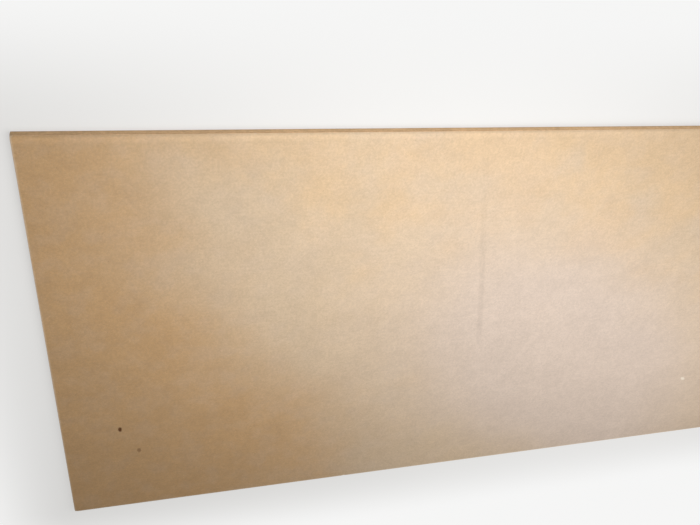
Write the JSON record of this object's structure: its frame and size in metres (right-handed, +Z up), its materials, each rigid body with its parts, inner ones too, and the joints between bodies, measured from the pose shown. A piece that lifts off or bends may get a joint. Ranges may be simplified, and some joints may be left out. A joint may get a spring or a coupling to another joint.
{
  "type": "mdf board",
  "caption": "Full sheet of plain medium density fibreboard: a flat rectangular slab with sanded faces and square sawn edges, for cutting into panels, shelves and furniture parts.",
  "frame": {"origin": "middle of the underside, where the sheet lies on the floor", "axes": "+X along the sheet's length, +Y across its width towards the long edge that is uppermost in the picture, +Z up through its thickness, out of the face that the picture shows"},
  "size_m": [2.44, 1.22, 0.018],
  "materials": {
    "mdf": "raw sanded fibreboard, matt"
  },
  "bodies": {
    "root": {"mdf_board": "mdf"}
  },
  "joints": []
}
